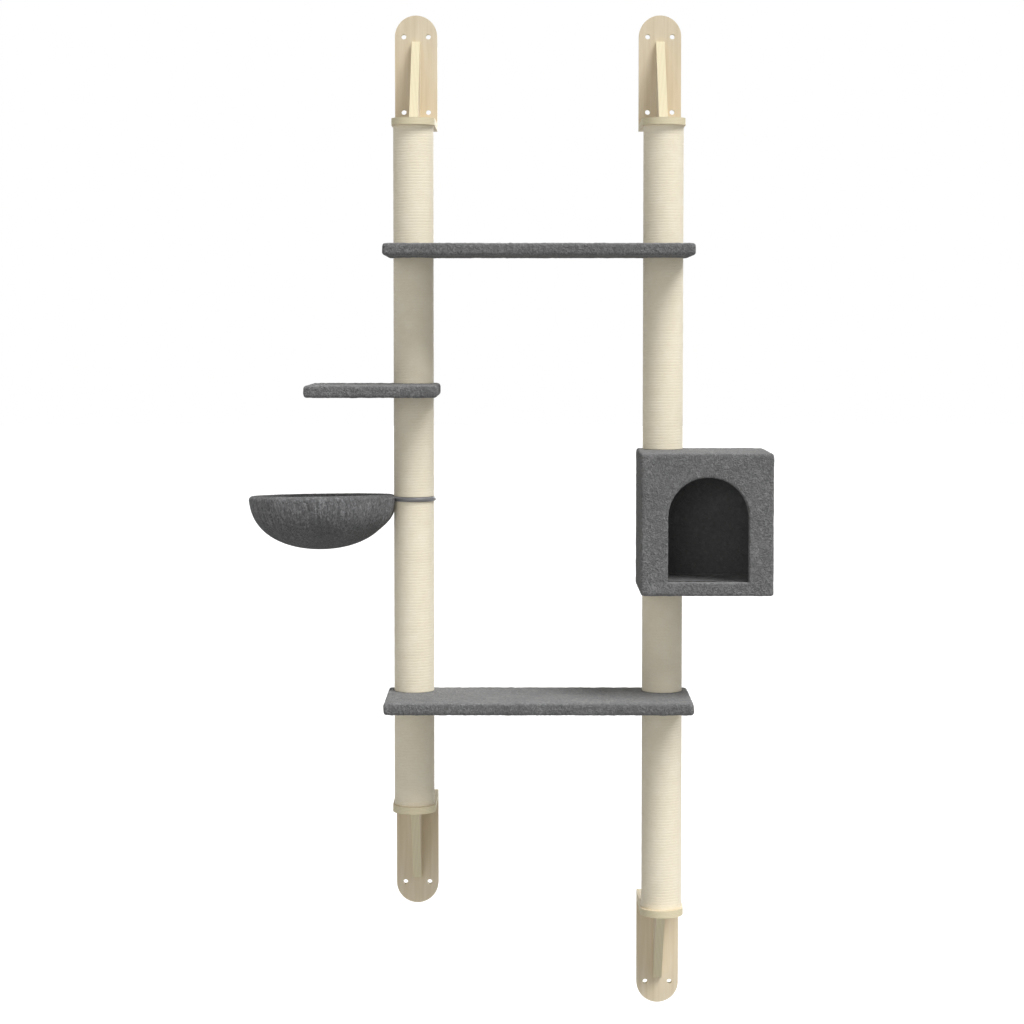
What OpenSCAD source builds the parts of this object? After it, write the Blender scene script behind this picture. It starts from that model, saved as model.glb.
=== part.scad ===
// Wall mounted cat tree: two rope wound posts on wall brackets carry two planks, a perch, a house and
// a basket that swivels.
// X runs to the right along the wall, Y into the wall and Z up. The wall is the plane y = 0.
// The origin is the centre of the four screw holes of the upper left wall plate, on the wall.

/* [Posts] */
// Outer diameter of a post over its rope
post_d = 70; // [64:1:84]
// Thickness of the sisal rope
rope_t = 5; // [3:0.5:7]
// Wall of the cardboard tube under the rope
tube_wall = 3.5; // [2:0.5:5]
// Distance between the axes of the two posts
post_pitch = 433; // [400:1:600]
// Distance from the wall to the axes of the posts
post_reach = 137; // [134:1:170]
// Length of the wooden plug in each end of a tube
plug_l = 26; // [24:1:40]

/* [Heights] */
// Overall height, from the top of the upper wall plates to the end of the lowest one
tree_h = 1772; // [1640:1:1900]
// Length of the post sections above the upper plank
top_section_l = 206; // [120:1:400]
// Clear height between the two planks
plank_gap = 754; // [740:1:900]
// Length of the left section between the upper plank and the perch
perch_drop = 217; // [120:1:260]
// Length of the left section between the perch and the ring of the basket
ring_drop = 174.5; // [120:0.5:220]
// Length of the right section between the upper plank and the house
house_drop = 331; // [250:1:360]
// Length of the left section below the lower plank
left_foot_l = 178; // [120:1:400]

/* [Wall brackets] */
// Width of the wall plates and of the shelves on them
plate_w = 75; // [72:1:86]
// Length of a wall plate from its square end to the top of its round end
plate_l = 204; // [200:1:260]
// Thickness of the plywood of plates and shelves
ply_t = 12; // [9:1:14]
// Diameter of the screw holes in the wall plates
hole_d = 9; // [5:0.5:10]
// Distance between the screw holes across a wall plate
hole_dx = 43.5; // [38:0.5:48]
// Distance between the screw holes along a wall plate
hole_dz = 133; // [100:1:138]
// How far the round centre of a shelf's nose lies in front of the post axis
nose_lead = 6.5; // [1:0.5:15]
// Thickness of a gusset
gusset_t = 15; // [12:1:18]
// Length of a gusset along the wall plate
gusset_h = 145; // [110:1:160]
// How far behind the post axis a gusset ends
gusset_short = 4; // [0:1:30]
// Depth of the blunt end of a gusset
gusset_tip = 8; // [4:1:16]

/* [Planks and perch] */
// Thickness of the boards
board_t = 16; // [12:1:22]
// Thickness of the plush, outside and inside
plush_t = 3; // [2.5:0.5:4]
// Rounding of the covered edges
edge_r = 7; // [3:0.5:8]
// Depth of the planks and the perch from front to rear
plank_d = 205; // [185:1:240]
// Distance from the post axes back to the rear edges
rear_back = 45; // [42:1:60]
// How far the planks reach past the post axes
plank_over = 47; // [43:1:80]
// Width of the perch
perch_w = 226; // [180:1:300]
// How far the perch reaches to the right of the left post axis
perch_over = 46; // [43:1:80]

/* [House] */
// Width of the house
house_w = 225; // [212:1:280]
// Height of the house
house_h = 242; // [228:1:270]
// Depth of the house
house_d = 205; // [180:1:240]
// How far the house reaches to the left of the right post axis
house_over = 45; // [42:1:60]
// Thickness of the panels of the house
panel_t = 15; // [12:1:16]
// Width of the door
door_w = 135; // [110:1:150]
// Height of the door from its sill to the top of its arch
door_h = 176; // [150:1:180]
// Height of the sill above the floor of the house
sill_lip = 3; // [2:0.5:8]
// How far the door lies to the right of the middle of the house
door_shift = 2; // [-6:1:6]

/* [Basket] */
// Radius of the hoop to the middle of its bar
hoop_r = 118.5; // [100:0.5:124]
// Thickness of the steel bar of hoop and ring
bar_d = 8; // [6:0.5:10]
// Depth of the bowl below the middle of the hoop
bowl_depth = 91; // [60:1:120]
// Fullness of the bowl, where 2 is an ellipse and more is squarer
bowl_fullness = 2.1; // [1.8:0.1:3]
// Thickness of the quilted plush of the pouch and of its rim
pouch_t = 3.5; // [2.5:0.5:4.5]
// Number of pleats round the pouch
pleats = 44; // [30:1:48]
// Depth of the pleats
pleat_depth = 1.6; // [0.6:0.2:2.4]
// Tilt of the hoop with its front edge up, in degrees
hoop_tilt_front = 2.4; // [0:0.2:3]
// Sag of the hoop with its outer edge down, in degrees
hoop_sag = 0.8; // [0:0.2:2]

/* [Fixings] */
// Diameter of the threaded studs and bolts
stud_d = 8; // [6:1:10]
// How deep a stud or bolt reaches into a post section
stud_bite = 20; // [17:1:22]
// Outer diameter of the threaded inserts
insert_d = 13; // [12:0.5:16]
// Length of the threaded inserts
insert_l = 15; // [10:1:16]
// Shank diameter of the wood screws
screw_d = 4; // [3:0.5:5]
// Length of the wood screws
screw_l = 35; // [25:1:40]

/* [Hidden] */
$fn = 72;
// Steps in the rounding of a soft edge, and the angle at which it meets the flat face
round_steps = 5;
round_end = 84;
// Overrun of every cut past the face that it leaves
cut = 1;
// Gap round a stud in wood, a screw in its hole and a bar in its fabric
stud_gap = 0.5;
screw_gap = 0.1;
soft_gap = 0.3;
// Radial gap between the ring and its spacer, and gap above and below the ring
ring_fit = 0.05;
ring_play = 0.2;
// Gap between hoop and ring, which the weld bridges
weld_gap = 0.4;
// The weld's diameter and how far it runs into each bar, as shares of the bar
weld_d_share = 0.9;
weld_bite_share = 0.5;
// Largest rounding that still covers a square corner, in thicknesses of the plush
round_corner_share = 3;
square_corner_share = 2.15;
// Diameters of the heads of bolts and screws, and of a washer, in shank diameters
head_share = 2;
washer_share = 3;
// Height of a button head and of a washer, in shank diameters
button_h_share = 0.5;
washer_h_share = 0.2;
// Places of the gusset's screws along it, and of the screw that comes through the shelf
gusset_screw_shares = [0.25, 0.68];
shelf_screw_share = 0.38;
// Place of the two screws in the end of a shelf, as a share of half its width
shelf_screw_x_share = 0.65;
// Places of the screws along the edges of the house
house_screw_shares = [0.2, 0.8];
// Depth of the pouch's pleats at the four points of one pleat, and the rows of points up its side
pleat_shares = [0, 0.3, 1, 0.3];
bowl_rows = 6;
// Steps up the smooth inside of the pouch, and sides round it
inner_steps = 20;
inner_sides = 144;

ply_colour = [0.86, 0.80, 0.68];
rope_colour = [0.90, 0.86, 0.76];
card_colour = [0.62, 0.50, 0.36];
plug_colour = [0.78, 0.66, 0.48];
board_colour = [0.70, 0.60, 0.46];
plush_colour = [0.30, 0.30, 0.31];
lining_colour = [0.20, 0.20, 0.21];
steel_colour = [0.70, 0.71, 0.73];
paint_colour = [0.42, 0.42, 0.44];
brass_colour = [0.80, 0.66, 0.34];

// The two posts
post_r = post_d / 2;
tube_r = post_r - rope_t;
plug_r = tube_r - tube_wall;
stud_r = stud_d / 2;
stud_hole_r = stud_r + stud_gap;
left_x = 0;
right_x = post_pitch;
rear_y = rear_back - post_reach;
gusset_depth = post_reach - ply_t - gusset_short;

// Heights from the top down; the lowest section of the right post takes what is left of the overall height
plate_top = hole_dz / 2 + plate_w / 2;
bracket_end = plate_top - plate_l;
plank_t = board_t + 2 * plush_t;
upper_plank_z = bracket_end - top_section_l - plank_t;
perch_z = upper_plank_z - perch_drop - plank_t;
ring_h = bar_d + 2 * ring_play;
ring_z = perch_z - ring_drop - ring_h / 2;
lower_plank_z = upper_plank_z - plank_gap - plank_t;
house_z = upper_plank_z - house_drop - house_h;
left_foot_z = lower_plank_z - left_foot_l;
right_foot_z = plate_top - tree_h + plate_l;
lower_left_z = left_foot_z + bracket_end;
lower_right_z = right_foot_z + bracket_end;

// Upper and lower end of each post section
left_spans = [
    [bracket_end, upper_plank_z + plank_t],
    [upper_plank_z, perch_z + plank_t],
    [perch_z, ring_z + ring_h / 2],
    [ring_z - ring_h / 2, lower_plank_z + plank_t],
    [lower_plank_z, left_foot_z],
];
right_spans = [
    [bracket_end, upper_plank_z + plank_t],
    [upper_plank_z, house_z + house_h],
    [house_z, lower_plank_z + plank_t],
    [lower_plank_z, right_foot_z],
];

// The planks and the perch
plank_x = left_x - plank_over;
plank_w = post_pitch + 2 * plank_over;
perch_x = left_x + perch_over - perch_w;
plank_r = min(edge_r, round_corner_share * plush_t);
board_r = plank_r - plush_t;

// The house: its corner, its box of panels and its rooms
house_x = right_x - house_over;
house_y = rear_y - house_d;
house_r = min(edge_r, square_corner_share * plush_t);
shell_size = [house_w - 2 * plush_t, house_d - 2 * plush_t, house_h - 2 * plush_t];
wall_t = plush_t + panel_t + plush_t;
floor_z = house_z + wall_t;
door_x = house_x + house_w / 2 + door_shift;
door_z = floor_z + sill_lip;

// The basket
ring_r = post_r;
spacer_r = ring_r - bar_d / 2 - ring_fit;
hoop_x = left_x - ring_r - bar_d - weld_gap - hoop_r;
weld_x = left_x - ring_r - (bar_d + weld_gap) / 2;
rim_r = bar_d / 2 + pouch_t;
bowl_r = hoop_r + rim_r;
inner_bowl_r = bowl_r - pleat_depth - pouch_t;
inner_bowl_depth = bowl_depth - pouch_t;
// The pouch starts just under the round rim
rim_drop = sqrt(pow(rim_r + soft_gap, 2) - pow(max(inner_bowl_r - hoop_r, 0), 2));
// Half of the angle that the rim leaves open for the ring, measured at the hoop's centre
rim_reach = ring_r + bar_d / 2 + soft_gap;
hoop_offset = left_x - hoop_x;
rim_open = acos((pow(hoop_offset, 2) + pow(bowl_r, 2) - pow(rim_reach, 2)) / (2 * hoop_offset * bowl_r));

// Bracket frame: the centre of the four holes is the origin and the round end points up
module at_upper(x) {
    translate([x, 0, 0]) children();
}

module at_lower(x, z) {
    translate([x, 0, z]) mirror([0, 0, 1]) children();
}

// A countersunk head flush with z = 0 on a shank that runs down
module countersunk(shank_r, length, gap = 0) {
    head_r = head_share * shank_r;
    translate([0, 0, -length - gap]) cylinder(h = length + gap, r = shank_r + gap);
    translate([0, 0, shank_r - head_r]) cylinder(h = head_r - shank_r, r1 = shank_r + gap, r2 = head_r + gap);
}

// Places of the five wood screws of a bracket, each with its head outside the wood
module at_bracket_screws() {
    shelf_mid_z = bracket_end + ply_t / 2;
    for (side = [-1, 1])
        translate([side * shelf_screw_x_share * plate_w / 2, 0, shelf_mid_z]) rotate([-90, 0, 0]) children();
    for (share = gusset_screw_shares)
        translate([0, 0, bracket_end + ply_t + share * gusset_h]) rotate([-90, 0, 0]) children();
    translate([0, -ply_t - shelf_screw_share * gusset_depth, bracket_end]) rotate([180, 0, 0]) children();
}

module bracket_screw_holes() {
    at_bracket_screws() {
        countersunk(screw_d / 2, screw_l, screw_gap);
        cylinder(h = cut, r = screw_d / 2 * head_share);
    }
}

module wall_plate() {
    color(ply_colour) difference() {
        rotate([90, 0, 0]) linear_extrude(ply_t) {
            translate([-plate_w / 2, bracket_end]) square([plate_w, plate_l - plate_w / 2]);
            translate([0, plate_top - plate_w / 2]) circle(d = plate_w);
        }
        for (x = [-hole_dx, hole_dx], z = [-hole_dz, hole_dz])
            translate([x / 2, cut, z / 2]) rotate([90, 0, 0]) cylinder(h = ply_t + 2 * cut, d = hole_d);
        bracket_screw_holes();
    }
}

module bracket_shelf() {
    nose_y = -post_reach - nose_lead;
    color(ply_colour) difference() {
        translate([0, 0, bracket_end]) linear_extrude(ply_t) {
            translate([-plate_w / 2, nose_y]) square([plate_w, -ply_t - nose_y]);
            translate([0, nose_y]) circle(d = plate_w);
        }
        translate([0, -post_reach, bracket_end + ply_t]) {
            countersunk(stud_r, ply_t + cut, screw_gap);
            cylinder(h = cut, r = head_share * stud_r);
        }
        bracket_screw_holes();
    }
}

module gusset() {
    foot = bracket_end + ply_t;
    color(ply_colour) difference() {
        rotate([90, 0, 90]) linear_extrude(gusset_t, center = true) polygon([
            [-ply_t, foot],
            [-ply_t - gusset_depth, foot],
            [-ply_t - gusset_tip, foot + gusset_h],
            [-ply_t, foot + gusset_h],
        ]);
        bracket_screw_holes();
    }
}

module wall_plate_upper_left() { at_upper(left_x) wall_plate(); }
module wall_plate_upper_right() { at_upper(right_x) wall_plate(); }
module wall_plate_lower_left() { at_lower(left_x, lower_left_z) wall_plate(); }
module wall_plate_lower_right() { at_lower(right_x, lower_right_z) wall_plate(); }
module bracket_shelf_upper_left() { at_upper(left_x) bracket_shelf(); }
module bracket_shelf_upper_right() { at_upper(right_x) bracket_shelf(); }
module bracket_shelf_lower_left() { at_lower(left_x, lower_left_z) bracket_shelf(); }
module bracket_shelf_lower_right() { at_lower(right_x, lower_right_z) bracket_shelf(); }
module gusset_upper_left() { at_upper(left_x) gusset(); }
module gusset_upper_right() { at_upper(right_x) gusset(); }
module gusset_lower_left() { at_lower(left_x, lower_left_z) gusset(); }
module gusset_lower_right() { at_lower(right_x, lower_right_z) gusset(); }

module bracket_screws() {
    color(steel_colour) {
        at_upper(left_x) at_bracket_screws() countersunk(screw_d / 2, screw_l);
        at_upper(right_x) at_bracket_screws() countersunk(screw_d / 2, screw_l);
        at_lower(left_x, lower_left_z) at_bracket_screws() countersunk(screw_d / 2, screw_l);
        at_lower(right_x, lower_right_z) at_bracket_screws() countersunk(screw_d / 2, screw_l);
    }
}

// A length of tube from the lower to the upper end of a post section
module sleeve(x, span, outer_r, inner_r) {
    translate([x, -post_reach, span[1]]) difference() {
        cylinder(h = span[0] - span[1], r = outer_r);
        translate([0, 0, -cut]) cylinder(h = span[0] - span[1] + 2 * cut, r = inner_r);
    }
}

module tube(x, span) {
    color(card_colour) sleeve(x, span, tube_r, plug_r);
}

module rope(x, span) {
    color(rope_colour) sleeve(x, span, post_r, tube_r);
}

module left_tube_1() { tube(left_x, left_spans[0]); }
module left_tube_2() { tube(left_x, left_spans[1]); }
module left_tube_3() { tube(left_x, left_spans[2]); }
module left_tube_4() { tube(left_x, left_spans[3]); }
module left_tube_5() { tube(left_x, left_spans[4]); }
module right_tube_1() { tube(right_x, right_spans[0]); }
module right_tube_2() { tube(right_x, right_spans[1]); }
module right_tube_3() { tube(right_x, right_spans[2]); }
module right_tube_4() { tube(right_x, right_spans[3]); }
module left_rope_1() { rope(left_x, left_spans[0]); }
module left_rope_2() { rope(left_x, left_spans[1]); }
module left_rope_3() { rope(left_x, left_spans[2]); }
module left_rope_4() { rope(left_x, left_spans[3]); }
module left_rope_5() { rope(left_x, left_spans[4]); }
module right_rope_1() { rope(right_x, right_spans[0]); }
module right_rope_2() { rope(right_x, right_spans[1]); }
module right_rope_3() { rope(right_x, right_spans[2]); }
module right_rope_4() { rope(right_x, right_spans[3]); }

// Both ends of each section, with the section's inside on the side of +Z
module at_section_ends(x, spans) {
    for (span = spans) {
        translate([x, -post_reach, span[1]]) children();
        translate([x, -post_reach, span[0]]) mirror([0, 0, 1]) children();
    }
}

module end_plug() {
    difference() {
        cylinder(h = plug_l, r = plug_r);
        translate([0, 0, -cut]) cylinder(h = plug_l + 2 * cut, r = stud_hole_r);
        translate([0, 0, -cut]) cylinder(h = insert_l + cut, d = insert_d);
    }
}

module left_end_plugs() {
    color(plug_colour) at_section_ends(left_x, left_spans) end_plug();
}

module right_end_plugs() {
    color(plug_colour) at_section_ends(right_x, right_spans) end_plug();
}

module insert() {
    difference() {
        cylinder(h = insert_l, d = insert_d);
        translate([0, 0, -cut]) cylinder(h = insert_l + 2 * cut, r = stud_r + screw_gap);
    }
}

module threaded_inserts() {
    color(brass_colour) {
        at_section_ends(left_x, left_spans) insert();
        at_section_ends(right_x, right_spans) insert();
    }
}

// A headless stud that joins the section above a gap to the one below it
module stud(x, above, below) {
    translate([x, -post_reach, below - stud_bite]) cylinder(h = above - below + 2 * stud_bite, r = stud_r);
}

module bracket_bolt() {
    translate([0, -post_reach, bracket_end + ply_t]) countersunk(stud_r, ply_t + stud_bite);
}

module left_studs() {
    color(steel_colour) {
        at_upper(left_x) bracket_bolt();
        for (i = [0 : len(left_spans) - 2]) stud(left_x, left_spans[i][1], left_spans[i + 1][0]);
        at_lower(left_x, lower_left_z) bracket_bolt();
    }
}

module right_studs() {
    color(steel_colour) {
        at_upper(right_x) bracket_bolt();
        for (i = [0, len(right_spans) - 2]) stud(right_x, right_spans[i][1], right_spans[i + 1][0]);
        at_lower(right_x, lower_right_z) bracket_bolt();
    }
}

// A board with round corners, its lower left front corner at the origin
module board(size, corner_r) {
    linear_extrude(size[2]) {
        translate([corner_r, 0]) square([size[0] - 2 * corner_r, size[1]]);
        translate([0, corner_r]) square([size[0], size[1] - 2 * corner_r]);
        for (x = [corner_r, size[0] - corner_r], y = [corner_r, size[1] - corner_r])
            translate([x, y]) circle(r = corner_r);
    }
}

// Triangles of a closed skin over a stack of rings, with a point under the first and one over the last
function stack_faces(sides, rows) =
    let (top = rows * sides + 1)
    [for (i = [0 : sides - 1]) let (j = (i + 1) % sides) each concat(
        [[0, 1 + i, 1 + j], [top, top - sides + j, top - sides + i]],
        [for (row = [0 : rows - 2]) let (a = 1 + row * sides + i, b = 1 + row * sides + j)
            each [[a, a + sides, b], [b, a + sides, b + sides]]]
    )];

module stack(bottom, rings, top) {
    points = concat([bottom], [for (ring = rings) each ring], [top]);
    polyhedron(points, stack_faces(len(rings[0]), len(rings)));
}

// The outline of a block at one height, where its round corners have shrunk to corner_r - inset
function soft_outline(size, corner_r, inset, z) = [
    for (corner = [[1, 0], [1, 1], [0, 1], [0, 0]])
        let (x = corner[0] ? size[0] - corner_r : corner_r, y = corner[1] ? size[1] - corner_r : corner_r)
        let (turn = atan2(2 * corner[1] - 1, 2 * corner[0] - 1) - 45)
        for (i = [0 : round_steps])
            let (angle = turn + 90 * i / round_steps)
            [x + (corner_r - inset) * cos(angle), y + (corner_r - inset) * sin(angle), z]
];

// A block with all its edges and corners round, its lower left front corner at the origin
module soft_block(size, corner_r) {
    middle = [size[0] / 2, size[1] / 2, 0];
    leans = [for (i = [0 : round_steps]) round_end * (round_steps - i) / round_steps];
    insets = [for (lean = leans) corner_r * (1 - cos(lean))];
    heights = [for (lean = leans) corner_r * (1 - sin(lean) / sin(round_end))];
    lower = [for (i = [0 : round_steps]) soft_outline(size, corner_r, insets[i], heights[i])];
    upper = [for (i = [round_steps : -1 : 0]) soft_outline(size, corner_r, insets[i], size[2] - heights[i])];
    stack(middle, concat(lower, upper), middle + [0, 0, size[2]]);
}

module stud_holes(axes, z, height) {
    for (x = axes) translate([x, -post_reach, z - cut]) cylinder(h = height + 2 * cut, r = stud_hole_r);
}

module shelf_board(x, z, width, axes) {
    size = [width - 2 * plush_t, plank_d - 2 * plush_t, board_t];
    color(board_colour) difference() {
        translate([x + plush_t, rear_y - plank_d + plush_t, z + plush_t]) board(size, board_r);
        stud_holes(axes, z, plank_t);
    }
}

module shelf_cover(x, z, width, axes) {
    size = [width - 2 * plush_t, plank_d - 2 * plush_t, board_t];
    color(plush_colour) difference() {
        translate([x, rear_y - plank_d, z]) soft_block([width, plank_d, plank_t], plank_r);
        translate([x + plush_t, rear_y - plank_d + plush_t, z + plush_t]) board(size, board_r);
        stud_holes(axes, z, plank_t);
    }
}

module upper_plank_board() { shelf_board(plank_x, upper_plank_z, plank_w, [left_x, right_x]); }
module upper_plank_cover() { shelf_cover(plank_x, upper_plank_z, plank_w, [left_x, right_x]); }
module lower_plank_board() { shelf_board(plank_x, lower_plank_z, plank_w, [left_x, right_x]); }
module lower_plank_cover() { shelf_cover(plank_x, lower_plank_z, plank_w, [left_x, right_x]); }
module perch_board() { shelf_board(perch_x, perch_z, perch_w, [left_x]); }
module perch_cover() { shelf_cover(perch_x, perch_z, perch_w, [left_x]); }

// The box of panels inside the plush: its lower left front corner
module at_shell() {
    translate([house_x + plush_t, house_y + plush_t, house_z + plush_t]) children();
}

// The door's arch, grown by a margin, from front to back between two depths
module door(margin, front, depth) {
    arch_r = door_w / 2 + margin;
    translate([door_x, front + depth, door_z - margin]) rotate([90, 0, 0]) linear_extrude(depth) {
        translate([-arch_r, 0]) square([2 * arch_r, door_h - door_w / 2 + margin]);
        translate([0, door_h - door_w / 2 + margin]) circle(r = arch_r);
    }
}

// Places of the screws that go through the front and back panel into the edges of the others
module at_house_screws() {
    edge = panel_t / 2;
    for (share = house_screw_shares) {
        for (x = [edge, shell_size[0] - edge]) {
            translate([x, 0, share * shell_size[2]]) rotate([90, 0, 0]) children();
            translate([x, shell_size[1], share * shell_size[2]]) rotate([-90, 0, 0]) children();
        }
        for (z = [edge, shell_size[2] - edge]) {
            translate([share * shell_size[0], 0, z]) rotate([90, 0, 0]) children();
            translate([share * shell_size[0], shell_size[1], z]) rotate([-90, 0, 0]) children();
        }
    }
}

module house_screw_holes() {
    at_house_screws() countersunk(screw_d / 2, screw_l, screw_gap);
}

module house_front() {
    color(board_colour) difference() {
        at_shell() difference() {
            cube([shell_size[0], panel_t, shell_size[2]]);
            house_screw_holes();
        }
        door(plush_t, house_y - cut, plush_t + panel_t + 2 * cut);
    }
}

module house_back() {
    color(board_colour) at_shell() difference() {
        translate([0, shell_size[1] - panel_t, 0]) cube([shell_size[0], panel_t, shell_size[2]]);
        house_screw_holes();
    }
}

module house_side(x) {
    color(board_colour) at_shell() difference() {
        translate([x, panel_t, panel_t])
            cube([panel_t, shell_size[1] - 2 * panel_t, shell_size[2] - 2 * panel_t]);
        house_screw_holes();
    }
}

module house_left() { house_side(0); }
module house_right() { house_side(shell_size[0] - panel_t); }

module house_deck(z) {
    color(board_colour) difference() {
        at_shell() difference() {
            translate([0, panel_t, z]) cube([shell_size[0], shell_size[1] - 2 * panel_t, panel_t]);
            house_screw_holes();
        }
        stud_holes([right_x], house_z, house_h);
    }
}

module house_top() { house_deck(shell_size[2] - panel_t); }
module house_bottom() { house_deck(0); }

// The outer plush wraps the box of panels and turns in round the door
module house_cover() {
    color(plush_colour) difference() {
        union() {
            difference() {
                translate([house_x, house_y, house_z]) soft_block([house_w, house_d, house_h], house_r);
                at_shell() cube(shell_size);
            }
            door(plush_t, house_y + plush_t / 2, plush_t / 2 + panel_t);
        }
        door(0, house_y - cut, wall_t + cut);
        stud_holes([right_x], house_z, house_h);
    }
}

// The inner plush lines the room and leaves the door open
module house_lining() {
    room = [house_w - 2 * wall_t, house_d - 2 * wall_t, house_h - 2 * wall_t];
    color(lining_colour) difference() {
        at_shell() translate([panel_t, panel_t, panel_t])
            cube([for (side = room) side + 2 * plush_t]);
        translate([house_x + wall_t, house_y + wall_t, house_z + wall_t]) cube(room);
        door(0, house_y + wall_t - plush_t - cut, plush_t + 2 * cut);
        stud_holes([right_x], house_z, house_h);
    }
}

// A button head bolt with its washer, from inside the house into the end of a post section
module house_bolt() {
    washer_h = washer_h_share * stud_d;
    difference() {
        cylinder(h = washer_h, r = washer_share * stud_r);
        translate([0, 0, -cut]) cylinder(h = washer_h + 2 * cut, r = stud_r + screw_gap);
    }
    translate([0, 0, washer_h]) cylinder(h = button_h_share * stud_d, r = head_share * stud_r);
    translate([0, 0, -wall_t - stud_bite]) cylinder(h = wall_t + stud_bite + washer_h, r = stud_r);
}

module house_bolts() {
    color(steel_colour) {
        translate([right_x, -post_reach, house_z + wall_t]) house_bolt();
        translate([right_x, -post_reach, house_z + house_h - wall_t]) mirror([0, 0, 1]) house_bolt();
    }
}

module house_screws() {
    color(steel_colour) at_shell() at_house_screws() countersunk(screw_d / 2, screw_l);
}

// The hoop's own frame: its centre is the origin, and it leans about the weld
module at_hoop() {
    translate([weld_x, -post_reach, ring_z]) rotate([-hoop_tilt_front, -hoop_sag, 0])
        translate([hoop_x - weld_x, 0, 0]) children();
}

module bar_ring(radius) {
    rotate_extrude() translate([radius, 0]) circle(d = bar_d);
}

module basket_frame() {
    weld_l = weld_gap + 2 * weld_bite_share * bar_d;
    color(paint_colour) {
        translate([left_x, -post_reach, ring_z]) bar_ring(ring_r);
        at_hoop() bar_ring(hoop_r);
        translate([weld_x - weld_l / 2, -post_reach, ring_z]) rotate([0, 90, 0])
            cylinder(h = weld_l, d = weld_d_share * bar_d);
    }
}

// The plush rim is wrapped round the hoop and stays open where the ring is welded on
module basket_rim() {
    color(plush_colour) at_hoop() rotate_extrude(angle = 360 - 2 * rim_open, start = rim_open)
        translate([hoop_r, 0]) difference() {
            circle(r = rim_r);
            circle(r = bar_d / 2 + soft_gap);
        }
}

// Shape of the bowl: share of its radius and of its depth at an angle from its bottom, 0 to 90
function bowl_radius_share(angle) = pow(sin(angle), 2 / bowl_fullness);
function bowl_depth_share(angle) = pow(cos(angle), 2 / bowl_fullness);

// Angle at which a bowl of a given depth has come up to the underside of the rim
function rim_angle(depth) = acos(pow(rim_drop / depth, bowl_fullness / 2));

bowl_sides = pleats * len(pleat_shares);

// One ring of points round the pleated bowl, whose pleats fade out towards the bottom
function bowl_ring(angle) = [
    for (i = [0 : bowl_sides - 1])
        let (turn = 360 * i / bowl_sides)
        let (fold = pleat_depth * pleat_shares[i % len(pleat_shares)] * pow(sin(angle), 2))
        let (radius = bowl_r * bowl_radius_share(angle) - fold)
        [radius * cos(turn), radius * sin(turn), -bowl_depth * bowl_depth_share(angle)]
];

module pleated_bowl() {
    top_angle = rim_angle(bowl_depth);
    rings = [for (row = [1 : bowl_rows]) bowl_ring(top_angle * row / bowl_rows)];
    stack([0, 0, -bowl_depth], rings, [0, 0, rings[bowl_rows - 1][0][2]]);
}

module smooth_bowl() {
    top_angle = rim_angle(inner_bowl_depth);
    side = [for (i = [0 : inner_steps - 1])
        let (angle = top_angle * i / inner_steps)
        [inner_bowl_r * bowl_radius_share(angle), -inner_bowl_depth * bowl_depth_share(angle)]];
    lip = [[inner_bowl_r * bowl_radius_share(top_angle), cut - rim_drop], [0, cut - rim_drop]];
    rotate_extrude($fn = inner_sides) polygon(concat(side, lip));
}

module basket_pouch() {
    color(plush_colour) at_hoop() difference() {
        pleated_bowl();
        smooth_bowl();
    }
}

module ring_spacer() {
    color(plug_colour) translate([left_x, -post_reach, ring_z - ring_h / 2]) difference() {
        cylinder(h = ring_h, r = spacer_r);
        translate([0, 0, -cut]) cylinder(h = ring_h + 2 * cut, r = stud_hole_r);
    }
}

wall_plate_upper_left();
wall_plate_upper_right();
wall_plate_lower_left();
wall_plate_lower_right();
bracket_shelf_upper_left();
bracket_shelf_upper_right();
bracket_shelf_lower_left();
bracket_shelf_lower_right();
gusset_upper_left();
gusset_upper_right();
gusset_lower_left();
gusset_lower_right();
bracket_screws();
left_tube_1();
left_tube_2();
left_tube_3();
left_tube_4();
left_tube_5();
right_tube_1();
right_tube_2();
right_tube_3();
right_tube_4();
left_rope_1();
left_rope_2();
left_rope_3();
left_rope_4();
left_rope_5();
right_rope_1();
right_rope_2();
right_rope_3();
right_rope_4();
left_end_plugs();
right_end_plugs();
threaded_inserts();
left_studs();
right_studs();
upper_plank_board();
upper_plank_cover();
lower_plank_board();
lower_plank_cover();
perch_board();
perch_cover();
house_front();
house_back();
house_left();
house_right();
house_top();
house_bottom();
house_cover();
house_lining();
house_bolts();
house_screws();
basket_frame();
basket_rim();
basket_pouch();
ring_spacer();
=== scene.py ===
import math

import bmesh
import bpy
import numpy as np
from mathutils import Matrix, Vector


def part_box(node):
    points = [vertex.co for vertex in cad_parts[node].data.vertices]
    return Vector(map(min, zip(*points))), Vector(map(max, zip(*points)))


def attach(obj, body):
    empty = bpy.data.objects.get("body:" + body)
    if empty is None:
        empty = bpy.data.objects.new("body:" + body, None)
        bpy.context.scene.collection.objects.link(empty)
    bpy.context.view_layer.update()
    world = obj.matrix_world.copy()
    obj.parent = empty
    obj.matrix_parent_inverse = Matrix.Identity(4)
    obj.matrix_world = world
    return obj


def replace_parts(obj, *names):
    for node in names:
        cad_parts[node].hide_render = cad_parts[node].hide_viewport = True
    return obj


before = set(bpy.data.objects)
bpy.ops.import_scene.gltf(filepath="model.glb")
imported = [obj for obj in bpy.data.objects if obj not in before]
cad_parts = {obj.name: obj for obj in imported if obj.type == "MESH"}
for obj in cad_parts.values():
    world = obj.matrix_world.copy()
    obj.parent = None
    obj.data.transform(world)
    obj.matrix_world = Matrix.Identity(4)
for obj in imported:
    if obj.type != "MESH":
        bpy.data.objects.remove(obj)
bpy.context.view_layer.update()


# ---- Camera ----
# It stands 4.6 m in front of the wall, a little above the perch, and looks down a little. Its shift brings
# the tree into the middle of the picture and stays small, so that no other view is cut.

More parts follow.
